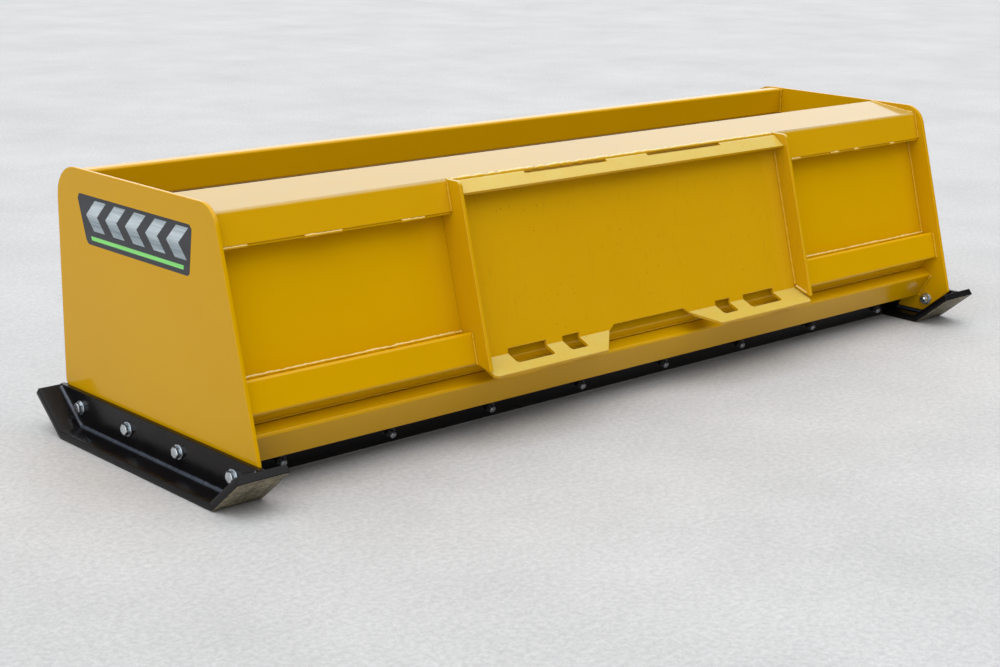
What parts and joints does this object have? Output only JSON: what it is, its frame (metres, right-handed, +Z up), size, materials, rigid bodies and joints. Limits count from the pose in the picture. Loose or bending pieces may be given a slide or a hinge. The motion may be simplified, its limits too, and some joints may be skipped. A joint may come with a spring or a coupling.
{
  "type": "skid steer snow pusher",
  "caption": "Wide box-shaped snow pusher with a leaning moldboard, end plates on bolted skid shoes, a pull-back bar and a quick-attach plate at the rear.",
  "frame": {"origin": "on the ground, under the middle of the whole attachment", "axes": "+X to the operator's right across the width, +Y forward in the pushing direction, +Z up"},
  "size_m": [2.5776, 0.8258, 0.622],
  "materials": {
    "yellow_enamel": "gloss enamel",
    "black_paint": "satin black paint",
    "zinc": "bright zinc plating",
    "decal": "printed vinyl sticker"
  },
  "bodies": {
    "root": {"left_end_plate": "yellow_enamel", "right_end_plate": "yellow_enamel", "moldboard": "yellow_enamel", "top_deck": "yellow_enamel", "left_top_rail_bar": "yellow_enamel", "right_top_rail_bar": "yellow_enamel", "left_lower_rail": "yellow_enamel", "right_lower_rail": "yellow_enamel", "bottom_rail": "yellow_enamel", "pull_back_bar": "yellow_enamel", "pull_back_edge": "black_paint", "attach_plate": "yellow_enamel", "left_gusset": "yellow_enamel", "right_gusset": "yellow_enamel", "left_rib": "yellow_enamel", "right_rib": "yellow_enamel", "cutting_edge": "black_paint", "edge_bolts": "zinc", "edge_washers": "zinc", "edge_nuts": "zinc", "left_shoe_sole": "black_paint", "right_shoe_sole": "black_paint", "left_shoe_fin": "black_paint", "right_shoe_fin": "black_paint", "left_shoe_bolts": "zinc", "right_shoe_bolts": "zinc", "left_shoe_washers": "zinc", "right_shoe_washers": "zinc", "left_shoe_nuts": "zinc", "right_shoe_nuts": "zinc", "side_decal": "decal"}
  },
  "joints": []
}
